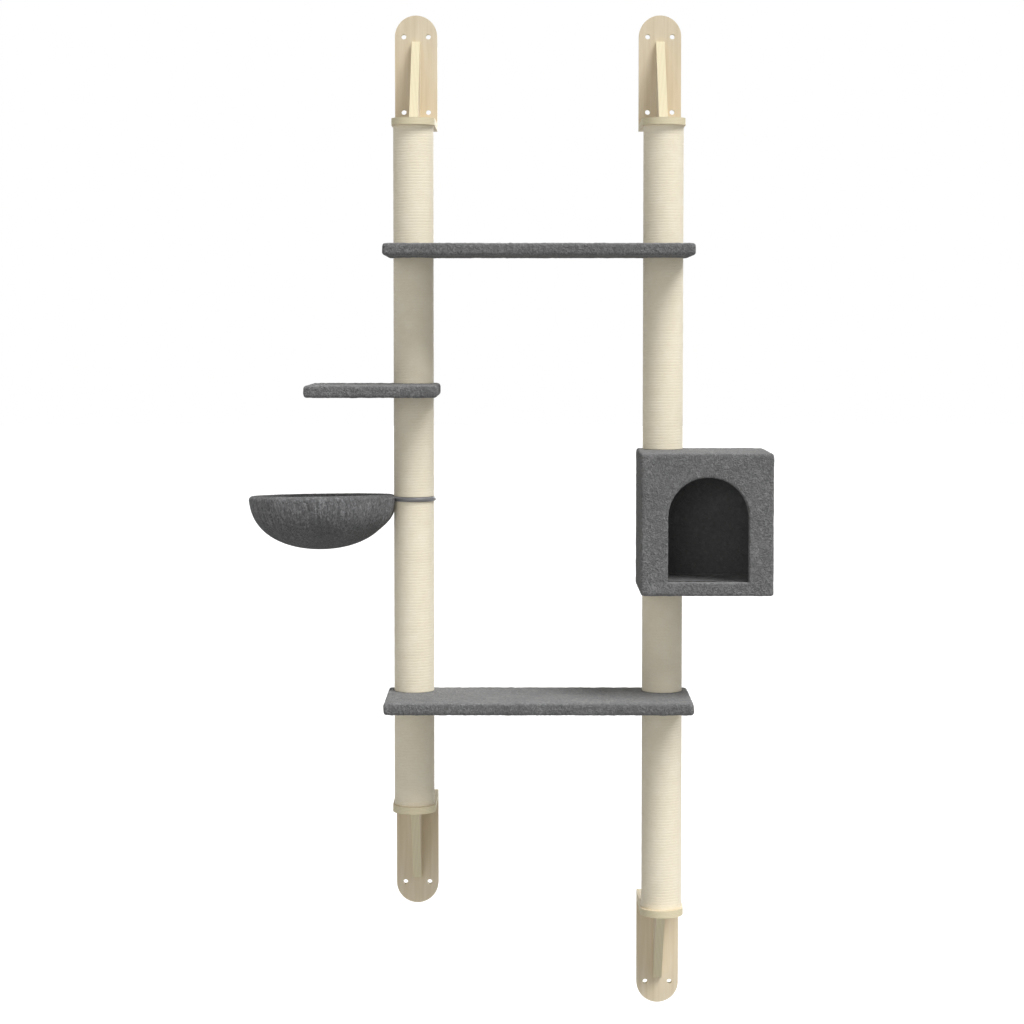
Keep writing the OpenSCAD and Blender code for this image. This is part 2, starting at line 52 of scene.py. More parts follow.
camera = bpy.data.objects.new("camera", bpy.data.cameras.new("camera"))
bpy.context.scene.collection.objects.link(camera)
bpy.context.scene.camera = camera
camera.data.lens = 90.68
camera.data.shift_y = -0.042
camera.location = (0.1893, -4.6239, -0.4428)
pitch, yaw = math.radians(3.21), math.radians(-0.236)
looks = Vector((math.sin(yaw) * math.cos(pitch), math.cos(yaw) * math.cos(pitch), -math.sin(pitch)))
camera.rotation_euler = looks.to_track_quat("-Z", "Y").to_euler()


# ---- Floor and light ----
# A wide soft lamp shines from the upper right in front. Two weaker level lamps, in front and behind, and the
# white surroundings fill the shadows. A pale floor well below the tree looks white but keeps its shadow.

bpy.context.scene.view_settings.view_transform = "Standard"


def add(tree, kind, inputs=(), **settings):
    """Adds a shader node: its settings, then its inputs, each a number to set or another node's output."""
    made = tree.nodes.new(kind)
    for name, value in settings.items():
        setattr(made, name, value)
    for name, value in dict(inputs).items():
        if isinstance(value, bpy.types.NodeSocket):
            tree.links.new(value, made.inputs[name])
        else:
            made.inputs[name].default_value = value
    return made


def seen_as_white(tree):
    """1 for what the camera sees by itself, in gloss or through glass, 0 for light that surfaces pass on."""
    path = add(tree, "ShaderNodeLightPath")
    some = add(tree, "ShaderNodeMath", {0: path.outputs["Is Camera Ray"], 1: path.outputs["Is Glossy Ray"]},
               operation="ADD")
    return add(tree, "ShaderNodeMath", {0: some.outputs[0], 1: path.outputs["Is Transmission Ray"]},
               operation="ADD", use_clamp=True).outputs[0]


world = bpy.data.worlds.new("white surroundings")
bpy.context.scene.world = world
world.use_nodes = True
shadow_fill = 0.34
strength = add(world.node_tree, "ShaderNodeMapRange",
               {"Value": seen_as_white(world.node_tree), "To Min": shadow_fill, "To Max": 1.0})
background = world.node_tree.nodes["Background"]
background.inputs["Color"].default_value = (1, 1, 1, 1)
world.node_tree.links.new(strength.outputs[0], background.inputs["Strength"])

lamp_width = math.radians(28)
for name, towards_lamp_and_painted_light, energy in (("main lamp", (0.388, -0.4215, 0.8197), 2.75),
                             ("level lamp in front", (-0.2, -0.98, 0.02), 0.6),
                             ("level lamp behind", (0.25, 0.95, 0.1), 1.2)):
    lamp = bpy.data.objects.new(name, bpy.data.lights.new(name, "SUN"))
    bpy.context.scene.collection.objects.link(lamp)
    lamp.data.energy = energy
    lamp.data.angle = lamp_width
    lamp.rotation_euler = Vector(towards_lamp_and_painted_light).to_track_quat("Z", "Y").to_euler()

floor_z, floor_reach = -2.2, 40.0
floor_mesh = bpy.data.meshes.new("floor")
corners = floor_reach * np.array([[-1, -1], [1, -1], [1, 1], [-1, 1]])
floor_mesh.from_pydata(np.column_stack([corners, np.full(4, floor_z)]).tolist(), [], [[0, 1, 2, 3]])
floor = bpy.data.objects.new("floor", floor_mesh)
bpy.context.scene.collection.objects.link(floor)
pale = bpy.data.materials.new("pale floor")
pale.use_nodes = True
grey_to_light, pale_to_eye, lift_to_white = (0.4, 0.4, 0.4, 1), (0.95, 0.95, 0.95, 1), 0.2
white = seen_as_white(pale.node_tree)
shade = add(pale.node_tree, "ShaderNodeMix", {"Factor": white, "A": grey_to_light, "B": pale_to_eye},
            data_type="RGBA")
glow = add(pale.node_tree, "ShaderNodeMath", {0: white, 1: lift_to_white}, operation="MULTIPLY")
pale_shader = pale.node_tree.nodes["Principled BSDF"]
pale_shader.inputs["Roughness"].default_value = 1.0
pale_shader.inputs["Specular IOR Level"].default_value = 0.0
pale_shader.inputs["Emission Color"].default_value = (1, 1, 1, 1)
pale.node_tree.links.new(shade.outputs["Result"], pale_shader.inputs["Base Color"])
pale.node_tree.links.new(glow.outputs[0], pale_shader.inputs["Emission Strength"])
floor_mesh.materials.append(pale)


# ---- Wall brackets ----
# Each is a wall plate with a round end, a shelf with a round nose and a tapered gusset, sawn from birch
# plywood and screwed together. The faces show pale straight grain and the sawn edges the thin plies.


def ink(red, green, blue):
    """A colour written in the usual 0 to 255, as the linear numbers that a shader takes."""
    share = np.array([red, green, blue]) / 255
    linear = np.where(share <= 0.04045, share / 12.92, ((share + 0.055) / 1.055) ** 2.4)
    return (*linear.tolist(), 1.0)


def finish(name, **constants):
    """A new material, its node tree and its shader, with what is the same all over set on the shader."""
    made = bpy.data.materials.new(name)
    made.use_nodes = True
    shader = made.node_tree.nodes["Principled BSDF"]
    for key, value in constants.items():
        shader.inputs[key.replace("_", " ")].default_value = value
    return made, made.node_tree, shader


def blend_of(tree, factor, *stops):
    """The colour that a factor from 0 to 1 picks between stops, each a place and a colour."""
    ramp = add(tree, "ShaderNodeValToRGB", {"Fac": factor})
    band = ramp.color_ramp.elements
    for place, colour in stops[2:]:
        band.new(place)
    for element, (place, colour) in zip(band, stops):
        element.position = place
        element.color = colour
    return ramp.outputs["Color"]


def noise(tree, vector, scale, detail=3.0, roughness=0.55, distortion=0.0):
    """Cloudy noise, about 0.5 in the middle, with features of about 1 / scale metres."""
    return add(tree, "ShaderNodeTexNoise", {"Vector": vector, "Scale": scale, "Detail": detail,
                                            "Roughness": roughness, "Distortion": distortion}).outputs["Fac"]


def stretched(tree, vector, scale):
    """The same coordinates, pulled or pressed along each axis."""
    return add(tree, "ShaderNodeMapping", {"Vector": vector, "Scale": scale}).outputs["Vector"]


def bumped(tree, shader, height, strength, distance):
    """Dents the surface by a height."""
    dent = add(tree, "ShaderNodeBump", {"Height": height, "Strength": strength, "Distance": distance})
    tree.links.new(dent.outputs["Normal"], shader.inputs["Normal"])


def mixed(tree, base, other, share):
    """A base value plus a share of another one."""
    return add(tree, "ShaderNodeMath", {0: other, 1: share, 2: base}, operation="MULTIPLY_ADD").outputs[0]


def birch_plywood(name, thickness_axis, grain_axis, ply_t=0.0012, ply_wander=0.0006):
    """Face veneer with long streaks along the grain, and plies in bands across the thickness on the sawn
    edges: the place across the thickness runs to and fro once in two plies, a little wavy, and picks a tone.
    A surface whose normal lies mostly across the thickness is a face, any other is sawn."""
    made, tree, shader = finish(name, Roughness=0.6, Specular_IOR_Level=0.1)
    spot = add(tree, "ShaderNodeTexCoord")
    place = spot.outputs["Object"]
    streak_pull, cloud_pull, mostly = 0.05, 0.16, 0.8
    pulled = [1.0, 1.0, 1.0]
    pulled[grain_axis] = streak_pull
    streaks = noise(tree, stretched(tree, place, pulled), 170.0, 5.0, 0.6, 0.4)
    pulled[grain_axis] = cloud_pull
    clouds = noise(tree, stretched(tree, place, pulled), 38.0, 2.0)
    both = add(tree, "ShaderNodeMath", {0: streaks, 1: 0.65}, operation="MULTIPLY").outputs[0]
    face = blend_of(tree, mixed(tree, both, clouds, 0.35),
                    (0.3, ink(215, 200, 170)), (0.5, ink(225, 211, 184)), (0.7, ink(232, 221, 198)))
    across = add(tree, "ShaderNodeSeparateXYZ", {"Vector": place}).outputs["XYZ"[thickness_axis]]
    across = mixed(tree, across, noise(tree, place, 60.0, 2.0), ply_wander)
    ply = add(tree, "ShaderNodeMath", {0: across, 1: ply_t}, operation="PINGPONG")
    ply = add(tree, "ShaderNodeMath", {0: ply.outputs[0], 1: ply_t}, operation="DIVIDE").outputs[0]
    sawn = blend_of(tree, mixed(tree, ply, noise(tree, place, 900.0, 2.0), 0.5),
                    (0.35, ink(212, 199, 164)), (0.75, ink(228, 217, 184)), (1.0, ink(233, 225, 195)))
    normal = add(tree, "ShaderNodeSeparateXYZ", {"Vector": spot.outputs["Normal"]})
    facing = add(tree, "ShaderNodeMath", {0: normal.outputs["XYZ"[thickness_axis]]}, operation="ABSOLUTE")
    facing = add(tree, "ShaderNodeMath", {0: facing.outputs[0], 1: mostly}, operation="GREATER_THAN")
    colour = add(tree, "ShaderNodeMix", {"Factor": facing.outputs[0], "A": sawn, "B": face}, data_type="RGBA")
    tree.links.new(colour.outputs["Result"], shader.inputs["Base Color"])
    bumped(tree, shader, streaks, 0.25, 0.0005)
    return made


def dress(made, *nodes):
    """Gives CAD nodes a material in place of their plain one."""
    for node in nodes:
        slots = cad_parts[node].data.materials
        slots.clear()
        slots.append(made)


places = ["upper_left", "upper_right", "lower_left", "lower_right"]
x_axis, y_axis, z_axis = 0, 1, 2
dress(birch_plywood("plywood of the wall plates", y_axis, z_axis), *["wall_plate_" + at for at in places])
dress(birch_plywood("plywood of the shelves", z_axis, y_axis), *["bracket_shelf_" + at for at in places])
dress(birch_plywood("plywood of the gussets", x_axis, z_axis), *["gusset_" + at for at in places])


def brushed_metal(name, dull, bright, roughness):
    """Plated metal whose tint and gloss vary a little in patches."""
    made, tree, shader = finish(name, Metallic=1.0)
    place = add(tree, "ShaderNodeTexCoord").outputs["Object"]
    patches = noise(tree, place, 220.0, 4.0)
    tree.links.new(blend_of(tree, patches, (0.3, dull), (0.7, bright)), shader.inputs["Base Color"])
    spread = 0.1
    gloss = add(tree, "ShaderNodeMapRange",
                {"Value": patches, "To Min": roughness - spread, "To Max": roughness + spread})
    tree.links.new(gloss.outputs[0], shader.inputs["Roughness"])
    bumped(tree, shader, noise(tree, place, 1500.0, 2.0), 0.15, 0.0001)
    return made


zinc = brushed_metal("bright zinc", ink(176, 180, 186), ink(214, 217, 221), 0.32)
dress(zinc, "bracket_screws")


# ---- Posts ----
# Cardboard tubes with a turned wooden plug in each end stand on one another over threaded studs. Each is
# wound tightly with sisal rope of 5 mm, three strands laid together, from one end to the other.


def fibrous(name, dark, mid, light, scale, roughness, pull=(1.0, 1.0, 1.0)):
    """A dull fibrous board or wood, with flecks from dark to light."""
    made, tree, shader = finish(name, Roughness=roughness)
    place = stretched(tree, add(tree, "ShaderNodeTexCoord").outputs["Object"], pull)
    flecks = noise(tree, place, scale, 6.0, 0.7)
    colour = blend_of(tree, flecks, (0.35, dark), (0.5, mid), (0.65, light))
    tree.links.new(colour, shader.inputs["Base Color"])
    bumped(tree, shader, flecks, 0.4, 0.0004)
    return made


left_sections, right_sections = range(1, 6), range(1, 5)
cardboard = fibrous("cardboard", ink(142, 112, 78), ink(168, 136, 98), ink(186, 156, 118), 500.0, 0.85,
                    (1.0, 1.0, 4.0))
dress(cardboard, *[f"left_tube_{i}" for i in left_sections], *[f"right_tube_{i}" for i in right_sections])
dress(fibrous("turned pine", ink(188, 150, 104), ink(209, 175, 130), ink(222, 192, 150), 160.0, 0.6,
              (1.0, 1.0, 0.15)), "left_end_plugs", "right_end_plugs", "ring_spacer")
dress(brushed_metal("brass", ink(178, 140, 66), ink(206, 172, 98), 0.35), "threaded_inserts")
dress(zinc, "left_studs", "right_studs")


def skin(name, patches, made, body, uv=None):
    """A closed mesh from grids of points, each with whether its columns close into a ring: four neighbours on
    a grid make a face. Rows that shrink to a point and edges that meet become one, and the faces are turned
    outwards. uv gives two numbers to each face corner of the first grid, from its row and column."""
    points, faces, done = [], [], 0
    for grid, ring in patches:
        rows, columns = grid.shape[:2]
        at = done + np.arange(rows * columns).reshape(rows, columns)
        after = np.roll(at, -1, 1) if ring else at[:, 1:]
        here = at if ring else at[:, :-1]
        faces.append(np.stack([here[:-1], after[:-1], after[1:], here[1:]], -1).reshape(-1, 4))
        points.append(grid.reshape(-1, 3))
        done += rows * columns
    points, faces = np.concatenate(points), np.concatenate(faces)
    mesh = bpy.data.meshes.new(name)
    mesh.from_pydata(points.tolist(), [], faces.tolist())
    if uv is not None:
        rows, columns = patches[0][0].shape[:2]
        row, column = [x.reshape(-1, 1) for x in np.mgrid[0:rows - 1, 0:columns]]
        pairs = uv(row + np.array([0, 0, 1, 1]), column + np.array([0, 1, 1, 0]))
        layer = mesh.uv_layers.new(name="lay")
        layer.data.foreach_set("uv", np.stack(pairs, -1).astype(np.float32).ravel())
    work = bmesh.new()
    work.from_mesh(mesh)
    same_place = 1e-6
    bmesh.ops.remove_doubles(work, verts=work.verts, dist=same_place)
    if work.calc_volume(signed=True) < 0:
        bmesh.ops.reverse_faces(work, faces=work.faces)
    work.to_mesh(mesh)
    work.free()
    mesh.shade_smooth()
    mesh.materials.append(made)
    piece = bpy.data.objects.new(name, mesh)
    bpy.context.scene.collection.objects.link(piece)
    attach(piece, body)
    return piece


# The pattern follows the rope: U counts strands across and along it, V runs in metres along it.
sisal, tree, shader = finish("sisal rope", Roughness=0.8, Sheen_Weight=0.15, Sheen_Roughness=0.5)
lay = add(tree, "ShaderNodeUVMap", uv_map="lay").outputs["UV"]
across = add(tree, "ShaderNodeSeparateXYZ", {"Vector": lay}).outputs["X"]
strand = add(tree, "ShaderNodeMath", {0: across, 1: 0.5}, operation="PINGPONG").outputs[0]
fibres = noise(tree, stretched(tree, lay, (9.0, 160.0, 1.0)), 1.0, 4.0, 0.65)
bleach = noise(tree, add(tree, "ShaderNodeTexCoord").outputs["Object"], 45.0, 3.0)
tone = add(tree, "ShaderNodeMath", {0: fibres, 1: 0.7}, operation="MULTIPLY").outputs[0]
colour = blend_of(tree, mixed(tree, tone, bleach, 0.3),
                  (0.32, ink(236, 225, 199)), (0.5, ink(245, 235, 211)), (0.68, ink(250, 243, 223)))
tree.links.new(colour, shader.inputs["Base Color"])
bumped(tree, shader, mixed(tree, strand, fibres, 0.5), 0.3, 0.0006)


def wound_rope(node, rope_t=0.005, steps=48, lay_l=0.014, strands=3, groove=0.00026, unevenness=0.00004):
    """A flattened cord carried along a helix. Its section is an upright strip: the outer side falls back by
    the groove's depth times the fourth power of the height, where it touches its neighbours, and the inner
    side lies on the tube. It lies level for one turn at each end of the section and climbs by its own
    thickness in each turn between. Two slow waves along it pull it in a little here and there."""
    low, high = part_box(node)
    centre, outer = (low + high) / 2, (high.x - low.x) / 2
    climb = high.z - low.z - rope_t
    turns = round(climb / rope_t)
    gap = climb / turns
    along = np.linspace(0, turns + 2, (turns + 2) * steps + 1)[:, None]
    angle = 2 * np.pi * along
    outside = np.sin(np.linspace(-np.pi / 2, np.pi / 2, 9))
    tall = np.concatenate([outside, [0.9, -0.9]])
    deep = np.concatenate([groove * np.abs(outside) ** 4, [rope_t, rope_t]])
    sides = len(tall)
    slack = unevenness * (np.sin(5.3 * along) + np.sin(11.7 * along + 1) - 2)
    radius = outer - deep[None, :] + slack
    up = low.z + rope_t / 2 + gap * np.clip(along - 1, 0, turns) + gap / 2 * tall[None, :]
    tube = np.stack([centre.x + radius * np.cos(angle), centre.y + radius * np.sin(angle),
                     np.broadcast_to(up, radius.shape)], -1)
    ends = tube[[0, -1]].mean(1, keepdims=True).repeat(sides, 1)
    tube = np.concatenate([ends[:1], tube, ends[1:]])
    step_l = 2 * np.pi * (outer - rope_t / 2) / steps

    def twist(row, column):
        return row * step_l / lay_l + strands * column / sides, row * step_l

    piece = skin(node.replace("rope", "sisal"), [(tube, True)], sisal, "tree", twist)
    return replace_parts(piece, node)


for i in left_sections:
    wound_rope(f"left_rope_{i}")
for i in right_sections:
    wound_rope(f"right_rope_{i}")


# ---- Planks and perch ----
# Boards of chipboard wrapped in grey plush with a short curly pile, folded round the edges and stapled below.
# The posts press the plush down where they stand, and it swells a little round them.

chipboard = fibrous("chipboard", ink(150, 122, 88), ink(181, 152, 114), ink(204, 178, 142), 260.0, 0.8)
dress(chipboard, "upper_plank_board", "lower_plank_board", "perch_board")


def short_pile(name, deep, mid, tip, curl=210.0, dent=1.0, pull=(1.0, 1.0, 1.0),
               towards_lamp_and_painted_light=(0.5, 0.95, 1.0, 1.35)):
    """Curly plush: small twisted tufts, dark between and light on their tips, in patches of slightly other
    tone. Their tone follows the noise that dents the surface, so it is partly the pile's own tone and partly
    painted shade in the hollows and painted highlights on the tips. The colour is also painted lighter or
    darker by how much the normal points up, as painted light and shade: the last argument gives how much of
    the normal points up where this starts and where it ends, and how light the plush is there."""
    made, tree, shader = finish(name, Roughness=0.9, Specular_IOR_Level=0.0,
                                Sheen_Weight=0.25, Sheen_Roughness=0.3)
    spot = add(tree, "ShaderNodeTexCoord")
    place = stretched(tree, spot.outputs["Object"], pull)
    tufts = noise(tree, place, curl, 2.0, 0.5, 1.3)
    fine = noise(tree, place, 3.2 * curl, 2.0, 0.6, 0.6)
    patches = noise(tree, place, 0.1 * curl, 2.0)
    # Partly painted shade and highlight: the tone follows the tufts that dent the surface, darker in the
    # hollows and lighter on the tips, besides the pile's own tone.
    tone = mixed(tree, mixed(tree, tufts, fine, 0.15), patches, 0.2)
    colour = blend_of(tree, tone, (0.45, deep), (0.67, mid), (0.88, tip))
    # Painted light and shade: the colour's value is scaled by how much the normal points up.
    upward = add(tree, "ShaderNodeSeparateXYZ", {"Vector": spot.outputs["Normal"]}).outputs["Z"]
    light = add(tree, "ShaderNodeMapRange", {"Value": upward, "From Min": towards_lamp_and_painted_light[0], "From Max": towards_lamp_and_painted_light[1],
                                             "To Min": towards_lamp_and_painted_light[2], "To Max": towards_lamp_and_painted_light[3]}).outputs[0]
    colour = add(tree, "ShaderNodeHueSaturation", {"Color": colour, "Value": light}).outputs["Color"]
    tree.links.new(colour, shader.inputs["Base Color"])
    bumped(tree, shader, mixed(tree, tufts, fine, 0.2), dent, 0.0042)
    return made


def lumpy(points, size, seed):
    """Smooth noise from -1 to 1: random numbers on the corners of a lattice of cubes, eased in between. Each
    corner picks its number from a table, a stride further on for each cube along an axis."""
    count, strides = 4093, np.array([7927, 15401, 31337])
    table = np.random.default_rng(seed).uniform(-1, 1, count)
    cell = np.floor(points / size).astype(np.int64)
    ease = points / size - cell
    ease = ease * ease * (3 - 2 * ease)
    total = 0
    for corner in np.ndindex(2, 2, 2):
        picked = table[(cell + corner) @ strides % count]
        total = total + picked * np.prod(np.where(corner, ease, 1 - ease), -1)
    return total


def tufted(points, seed):
    """How far the pile rises, about -1 to 1: lumps as wide as a tuft and half as wide, added up."""
    return 0.65 * lumpy(points, 0.0065, seed) + 0.5 * lumpy(points, 0.0031, seed + 1)


def swollen(sharp, low, high, radius):
    """Points on a sharp box moved onto a smaller box's skin, swelled by the radius, and their normals."""
    inner = np.clip(sharp, low + radius, high - radius)
    normal = sharp - inner
    normal = normal / np.linalg.norm(normal, axis=-1, keepdims=True)
    return inner + radius * normal, normal


def box_faces(low, high, step):
    """The six faces of a sharp box as grids of points about a step apart."""
    for axis in range(3):
        u, v = (axis + 1) % 3, (axis + 2) % 3
        lines = [np.linspace(low[k], high[k], 1 + round((high[k] - low[k]) / step)) for k in (u, v)]
        for side in (low[axis], high[axis]):
            grid = np.empty((len(lines[0]), len(lines[1]), 3))
            grid[..., axis] = side
            grid[..., u], grid[..., v] = np.meshgrid(*lines, indexing="ij")
            if side == high[axis]:
                grid = grid.transpose(1, 0, 2)
            yield grid


# The grey plush is painted up to 1.35 times lighter where it faces up, as painted light on its tops.
plush = short_pile("grey plush", ink(106, 106, 106), ink(119, 119, 119), ink(144, 144, 144))
post_r = 0.035


def plush_cover(node, posts, radius=0.0055, step=0.0023, pile=0.0007, seed=3):
    """A rounded block whose skin is roughened by tufts. Under each post it is smooth and pressed in, and
    round the post it rises in a low ridge, a bell curve over the distance from the post."""
    pressed, ridge_h, ridge_w = 0.0003, 0.0009, 0.003
    ridge_r = post_r + 0.004
    low, high = [np.array(corner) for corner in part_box(node)]
    low, high = low + pile, high - pile
    patches = []
    for sharp in box_faces(low, high, step):
        points, normal = swollen(sharp, low, high, radius)
        raised = pile * tufted(points, seed)
        flat = np.abs(normal[..., 2])
        for post in posts:
            centre = sum(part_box(post), Vector()) / 2
            away = np.hypot(points[..., 0] - centre.x, points[..., 1] - centre.y)
            raised = np.where(away < post_r, np.minimum(raised, 0) * flat - pressed, raised)
            raised = raised + ridge_h * flat * np.exp(-(((away - ridge_r) / ridge_w) ** 2))
        patches.append((points + raised[..., None] * normal, False))
    piece = skin(node.replace("cover", "plush"), patches, plush, "tree")
    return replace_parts(piece, node)


plush_cover("upper_plank_cover", ["left_tube_1", "right_tube_1"])
plush_cover("lower_plank_cover", ["left_tube_5", "right_tube_4"])
plush_cover("perch_cover", ["left_tube_2"])


# ---- House ----
# Six chipboard panels screwed into a box, wrapped in the same plush, which turns in round the arched door.
# The room is lined with darker plush. A bolt through floor and roof holds it between two post sections.

dress(chipboard, "house_front", "house_back", "house_left", "house_right", "house_top", "house_bottom")
dress(zinc, "house_bolts", "house_screws")

door_w, door_h, sill_lip, door_shift = 0.135, 0.176, 0.003, 0.002
wall_t, plush_t = 0.021, 0.003
house_low, house_high = [np.array(corner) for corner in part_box("house_cover")]
door_x = (house_low[0] + house_high[0]) / 2 + door_shift
sill_z = house_low[2] + wall_t + sill_lip
spring_z = sill_z + door_h - door_w / 2
middle_below_spring = 0.03
eye = np.array([door_x, 0, spring_z - middle_below_spring])


def ray_to_box(turn, low, high):
    """How far a ray from the door's middle runs until it meets an upright rectangle: the nearer of its next
    side and its next level, each a distance divided by the ray's part in that direction."""
    across, up = np.cos(turn), np.sin(turn)
    least = 1e-9
    sideways = np.where(across > 0, high[0] - eye[0], eye[0] - low[0]) / np.maximum(np.abs(across), least)
    upwards = np.where(up > 0, high[2] - eye[2], eye[2] - low[2]) / np.maximum(np.abs(up), least)
    return np.minimum(sideways, upwards)


def ray_to_door(turn, grow):
    """How far the same ray runs to meet the door: a rectangle with a half circle on it, grown all round."""
    half, far_up = door_w / 2 + grow, 1.0
    straight = ray_to_box(turn, np.array([door_x - half, 0, sill_z - grow]),
                          np.array([door_x + half, 0, far_up]))
    rise = spring_z - eye[2]
    lift = rise * np.sin(turn)
    arch = lift + np.sqrt(np.maximum(lift**2 + half**2 - rise**2, 0))
    return np.where(straight * np.sin(turn) > rise, arch, straight)


def corner_turns(low, high):
    """Directions from the door's middle to a rectangle's four corners."""
    return [math.atan2(z - eye[2], x - eye[0]) % (2 * math.pi)
            for x in (low[0], high[0]) for z in (low[2], high[2])]


def plush_box(low, high, radius, depth, door_grow, door_y, lip, turns, step, pile, seed):
    """Rows of points from the inner end of the door's opening through its lip, over the front, round the
    sides and across the back to one point. Each row is a ring of rays from the door's middle, on a sharp box
    that is then swollen and roughened by tufts. depth draws the box in, and door_grow widens the door. Where
    the opening ends in front of the box, as in the room's lining, the tufts stand inwards."""
    low, high = low + depth, high - depth
    front = low[1]
    sign = 1.0 if door_y > front else -1.0
    rows = []

    def ring(reach, y):
        rows.append(np.stack([eye[0] + reach * np.cos(turns), np.broadcast_to(y, reach.shape),
                              eye[2] + reach * np.sin(turns)], -1))

    for y in np.linspace(door_y, front + sign * lip, 2 + int(abs(door_y - front) / step)):
        ring(ray_to_door(turns, door_grow), y)
    for part in np.linspace(0, np.pi / 2, 6)[1:]:
        ring(ray_to_door(turns, door_grow + lip * (1 - np.cos(part))),
             front + sign * lip * (1 - np.sin(part)))
    tunnel = len(rows)
    start = ray_to_door(turns, door_grow + lip)
    rim, outline = ray_to_box(turns, low + radius, high - radius), ray_to_box(turns, low, high)
    door_to_edge = 0.08
    count = max(4, round(door_to_edge / step))
    for share in np.linspace(0, 1, count)[1:]:
        ring(start + (rim - start) * share, front)
    bevel = np.linspace(0, 1, 5)[1:]
    for share in bevel:
        ring(rim + (outline - rim) * share, front)
    back = high[1]
    for y in [*(front + radius * bevel), *np.linspace(front + radius, back - radius, count * 2)[1:],
              *(back - radius + radius * bevel)]:
        ring(outline, y)
    for share in bevel[::-1]:
        ring(rim + (outline - rim) * (share - bevel[0]), back)
    for share in np.linspace(1, 0, count)[1:]:
        ring(rim * share, back)
    points = np.array(rows)
    turned, normal = swollen(points[tunnel:], low, high, radius)
    raised = pile * tufted(turned, seed)
    inwards = np.stack([-np.cos(turns), 0 * turns, -np.sin(turns)], -1)
    through_door = points[:tunnel] + pile * 0.8 * lumpy(points[:tunnel], 0.0045, seed)[..., None] * inwards
    return np.concatenate([through_door, turned + sign * raised[..., None] * normal])


turns = np.sort(np.concatenate([
    np.linspace(0, 2 * np.pi, 360, endpoint=False),
    corner_turns(house_low, house_high),
    corner_turns(house_low + wall_t, house_high - wall_t),
    corner_turns(np.array([door_x - door_w / 2, 0, sill_z]), np.array([door_x + door_w / 2, 0, sill_z])),
]))
pile = 0.0006
inner_end = house_low[1] + wall_t - plush_t
outside = plush_box(house_low + pile, house_high - pile, radius=0.005, depth=0, door_grow=pile,
                    door_y=inner_end, lip=0.003, turns=turns, step=0.0026, pile=pile, seed=11)
inside = plush_box(house_low, house_high, radius=0.004, depth=plush_t - pile, door_grow=plush_t - pile,
                   door_y=inner_end, lip=0.001, turns=turns, step=0.012, pile=0, seed=11)
cover = skin("house_plush", [(np.concatenate([outside[::-1], inside]), True)], plush, "tree")
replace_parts(cover, "house_cover")

# The room's floor is painted up to 1.6 times lighter, as a painted pool of light, and its walls and roof
# inside a little darker, as painted shade.
dark_plush = short_pile("dark plush of the room", ink(100, 100, 100), ink(108, 108, 108), ink(118, 118, 118),
                        dent=0.5, towards_lamp_and_painted_light=(0.5, 0.95, 0.95, 1.6))
room_low, room_high = house_low + wall_t, house_high - wall_t
near = plush_box(room_low, room_high, radius=0.004, depth=0, door_grow=pile, door_y=inner_end + pile,
                 lip=0.0005, turns=turns, step=0.0045, pile=pile, seed=21)
far = plush_box(room_low, room_high, radius=0.001, depth=pile - plush_t, door_grow=pile,
                door_y=inner_end + pile, lip=0.0, turns=turns, step=0.02, pile=0, seed=21)
lining = skin("room_plush", [(np.concatenate([near[::-1], far]), True)], dark_plush, "tree")
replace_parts(lining, "house_lining")


# ---- Basket ----
# A steel hoop welded to a ring that turns on a wooden spacer between two post sections. The pouch is gathered
# plush, sewn under a padded rim that is rolled round the hoop and stays open where the hoop meets the ring.

paint, tree, shader = finish("grey paint", Roughness=0.42, Coat_Weight=0.2, Coat_Roughness=0.3)
place = add(tree, "ShaderNodeTexCoord").outputs["Object"]
speckle = noise(tree, place, 700.0, 3.0)
tree.links.new(blend_of(tree, speckle, (0.3, ink(104, 104, 106)), (0.7, ink(122, 122, 124))),
               shader.inputs["Base Color"])
bumped(tree, shader, speckle, 0.3, 0.0002)
dress(paint, "basket_frame")

# The pouch is painted darker where it faces down, as painted shade on its underside, and lighter where it
# faces sideways or up, as painted light.
pouch_plush = short_pile("plush of the basket", ink(96, 96, 97), ink(113, 113, 114), ink(148, 148, 149),
                         curl=300.0, pull=(1.0, 1.0, 0.5), towards_lamp_and_painted_light=(-0.75, -0.15, 0.78, 1.17))
hoop_r, bar_d, pouch_t, ring_gap, rim_gap = 0.1185, 0.008, 0.0035, 0.0002, 0.0003
bowl_depth, bowl_fullness, pleats = 0.087, 2.1, 44
tilt_front, sag = math.radians(2.4), math.radians(0.8)
ring_low, ring_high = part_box("ring_spacer")
post = (ring_low + ring_high) / 2
weld_reach = post_r + bar_d / 2 + ring_gap
weld = np.array([post.x - weld_reach, post.y, post.z])
hoop_from_weld = hoop_r + bar_d / 2 + ring_gap
reach = weld_reach + hoop_from_weld


def at_hoop(points):
    """Points worked out round the hoop's centre, moved beside the weld, turned about it by the hoop's two
    leans and put in its place."""
    moved = points - np.array([hoop_from_weld, 0, 0])
    c, s = math.cos(-tilt_front), math.sin(-tilt_front)
    lean = np.array([[1, 0, 0], [0, c, -s], [0, s, c]])
    c, s = math.cos(-sag), math.sin(-sag)
    droop = np.array([[c, 0, s], [0, 1, 0], [-s, 0, c]])
    return moved @ lean.T @ droop.T + weld


def eased(value, start, end):
    """0 before the start, 1 after the end, and smooth between: three squares less two cubes of the share."""
    share = np.clip((value - start) / (end - start), 0, 1)
    return share * share * (3 - 2 * share)


def from_weld(turn):
    """How far a direction is turned from the one in which the hoop is welded to the ring."""
    return np.abs((turn + np.pi) % (2 * np.pi) - np.pi)


def swell(turn, out=0.0085, at=math.radians(16), width=math.radians(8)):
    """The cloth swells out a little beside the post, in front and behind: a bell curve over the direction."""
    return out * np.exp(-(((from_weld(turn) - at) / width) ** 2))


